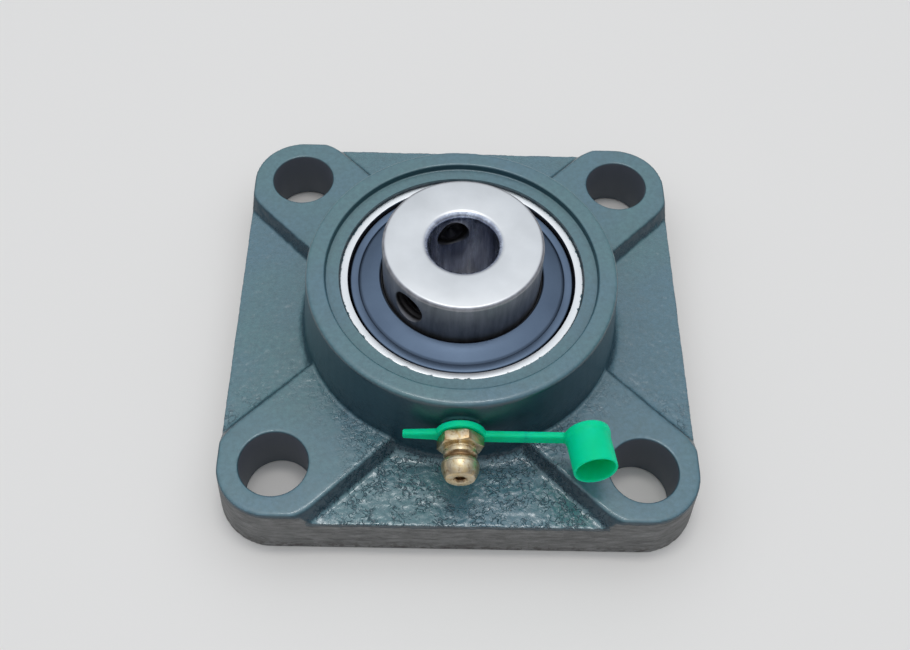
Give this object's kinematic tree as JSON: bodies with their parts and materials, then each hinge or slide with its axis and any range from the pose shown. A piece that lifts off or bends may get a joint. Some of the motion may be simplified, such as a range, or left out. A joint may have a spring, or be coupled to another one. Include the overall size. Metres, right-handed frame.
{
  "type": "flange mount bearing",
  "caption": "Square four-bolt flange housing with a self-aligning ball bearing insert, set-screw locking, grease nipple and tethered dust cap.",
  "frame": {"origin": "centre of the flange's flat mounting face", "axes": "+Z along the shaft bore, away from the mounting face; the grease nipple points along -Y; +X to the right seen from the nipple's side"},
  "size_m": [0.085, 0.085, 0.0333],
  "materials": {
    "housing_enamel": "glossy dark green-grey enamel over sand-cast iron",
    "ground_steel": "ground bearing steel",
    "ring_steel": "ground face, turned outside",
    "shield_steel": "blue-grey pressed steel",
    "cage_steel": "pressed steel strip",
    "rivet_steel": "plain steel",
    "ball_steel": "polished bearing steel",
    "seal_rubber": "matt nitrile rubber",
    "screw_oxide": "black oxide",
    "nipple_brass": "tarnished yellow passivate",
    "spring_steel": "drawn spring wire",
    "cap_plastic": "soft emerald green polyethylene"
  },
  "bodies": {
    "housing": {"flange_housing": "housing_enamel", "grease_nipple": "nipple_brass", "nipple_spring": "spring_steel"},
    "check_ball": {"nipple_ball": "ball_steel"},
    "outer_race": {"outer_ring": "ground_steel", "shield_front": "shield_steel", "shield_back": "shield_steel", "seal_front": "seal_rubber", "seal_back": "seal_rubber"},
    "inner_race": {"inner_ring": "ring_steel"},
    "screw_1": {"set_screw_1": "screw_oxide"},
    "screw_2": {"set_screw_2": "screw_oxide"},
    "cage": {"cage_front": "cage_steel", "cage_back": "cage_steel", "cage_rivets": "rivet_steel"},
    "cap_collar": {"cap_ring": "cap_plastic"},
    "strap": {"cap_strap": "cap_plastic"},
    "cap": {"dust_cap": "cap_plastic"},
    "rolling_ball_1": {"ball_1": "ball_steel"},
    "rolling_ball_2": {"ball_2": "ball_steel"},
    "rolling_ball_3": {"ball_3": "ball_steel"},
    "rolling_ball_4": {"ball_4": "ball_steel"},
    "rolling_ball_5": {"ball_5": "ball_steel"},
    "rolling_ball_6": {"ball_6": "ball_steel"},
    "rolling_ball_7": {"ball_7": "ball_steel"},
    "rolling_ball_8": {"ball_8": "ball_steel"}
  },
  "joints": [
    {"name": "insert_tilt", "type": "hinge", "parent": "housing", "child": "outer_race", "pos_m": [0, 0, 0.015], "axis": [1, 0, 0], "range_deg": [-5, 5]},
    {"name": "inner_ring_spin", "type": "hinge", "parent": "outer_race", "child": "inner_race", "pos_m": [0, 0, 0.015], "axis": [0, 0, 1], "continuous": true},
    {"name": "cage_orbit", "type": "hinge", "parent": "outer_race", "child": "cage", "pos_m": [0, 0, 0.015], "axis": [0, 0, 1], "continuous": true},
    {"name": "ball_spin_1", "type": "hinge", "parent": "cage", "child": "rolling_ball_1", "pos_m": [0.01547, 0.00641, 0.015], "axis": [0, 0, 1], "continuous": true},
    {"name": "ball_spin_2", "type": "hinge", "parent": "cage", "child": "rolling_ball_2", "pos_m": [0.00641, 0.01547, 0.015], "axis": [0, 0, 1], "continuous": true},
    {"name": "ball_spin_3", "type": "hinge", "parent": "cage", "child": "rolling_ball_3", "pos_m": [-0.00641, 0.01547, 0.015], "axis": [0, 0, 1], "continuous": true},
    {"name": "ball_spin_4", "type": "hinge", "parent": "cage", "child": "rolling_ball_4", "pos_m": [-0.01547, 0.00641, 0.015], "axis": [0, 0, 1], "continuous": true},
    {"name": "ball_spin_5", "type": "hinge", "parent": "cage", "child": "rolling_ball_5", "pos_m": [-0.01547, -0.00641, 0.015], "axis": [0, 0, 1], "continuous": true},
    {"name": "ball_spin_6", "type": "hinge", "parent": "cage", "child": "rolling_ball_6", "pos_m": [-0.00641, -0.01547, 0.015], "axis": [0, 0, 1], "continuous": true},
    {"name": "ball_spin_7", "type": "hinge", "parent": "cage", "child": "rolling_ball_7", "pos_m": [0.00641, -0.01547, 0.015], "axis": [0, 0, 1], "continuous": true},
    {"name": "ball_spin_8", "type": "hinge", "parent": "cage", "child": "rolling_ball_8", "pos_m": [0.01547, -0.00641, 0.015], "axis": [0, 0, 1], "continuous": true},
    {"name": "set_screw_1_travel", "type": "slide", "parent": "inner_race", "child": "screw_1", "axis": [-0.6691, -0.7431, 0], "range_m": [-0.0003, 0.0018]},
    {"name": "set_screw_2_travel", "type": "slide", "parent": "inner_race", "child": "screw_2", "axis": [-0.309, 0.9511, 0], "range_m": [-0.0003, 0.0018]},
    {"name": "check_ball_press", "type": "slide", "parent": "housing", "child": "check_ball", "axis": [0, 1, 0], "range_m": [0, 0.0008], "stiffness_N_per_m": 100, "springref_m": -0.0003, "deforming": ["nipple_spring"]},
    {"name": "cap_swivel", "type": "hinge", "parent": "housing", "child": "cap_collar", "pos_m": [0, -0.0296, 0.0188], "axis": [0, 1, 0], "range_deg": [-50, 8]},
    {"name": "strap_bend", "type": "hinge", "parent": "cap_collar", "child": "strap", "pos_m": [0.0056, -0.02975, 0.0186], "axis": [0, 0, -1], "range_deg": [-8, 50], "stiffness_Nm_per_rad": 0.004},
    {"name": "cap_bend", "type": "hinge", "parent": "strap", "child": "cap", "pos_m": [0.0164, -0.02975, 0.0186], "axis": [0, 0, -1], "range_deg": [-8, 50], "stiffness_Nm_per_rad": 0.004}
  ],
  "couplings": [
    {"joint": "cage_orbit", "follows": "inner_ring_spin", "ratio": 0.38152},
    {"joint": "ball_spin_1", "follows": "inner_ring_spin", "ratio": -1.9916},
    {"joint": "ball_spin_2", "follows": "inner_ring_spin", "ratio": -1.9916},
    {"joint": "ball_spin_3", "follows": "inner_ring_spin", "ratio": -1.9916},
    {"joint": "ball_spin_4", "follows": "inner_ring_spin", "ratio": -1.9916},
    {"joint": "ball_spin_5", "follows": "inner_ring_spin", "ratio": -1.9916},
    {"joint": "ball_spin_6", "follows": "inner_ring_spin", "ratio": -1.9916},
    {"joint": "ball_spin_7", "follows": "inner_ring_spin", "ratio": -1.9916},
    {"joint": "ball_spin_8", "follows": "inner_ring_spin", "ratio": -1.9916},
    {"joint": "cap_bend", "follows": "strap_bend", "ratio": 1}
  ]
}
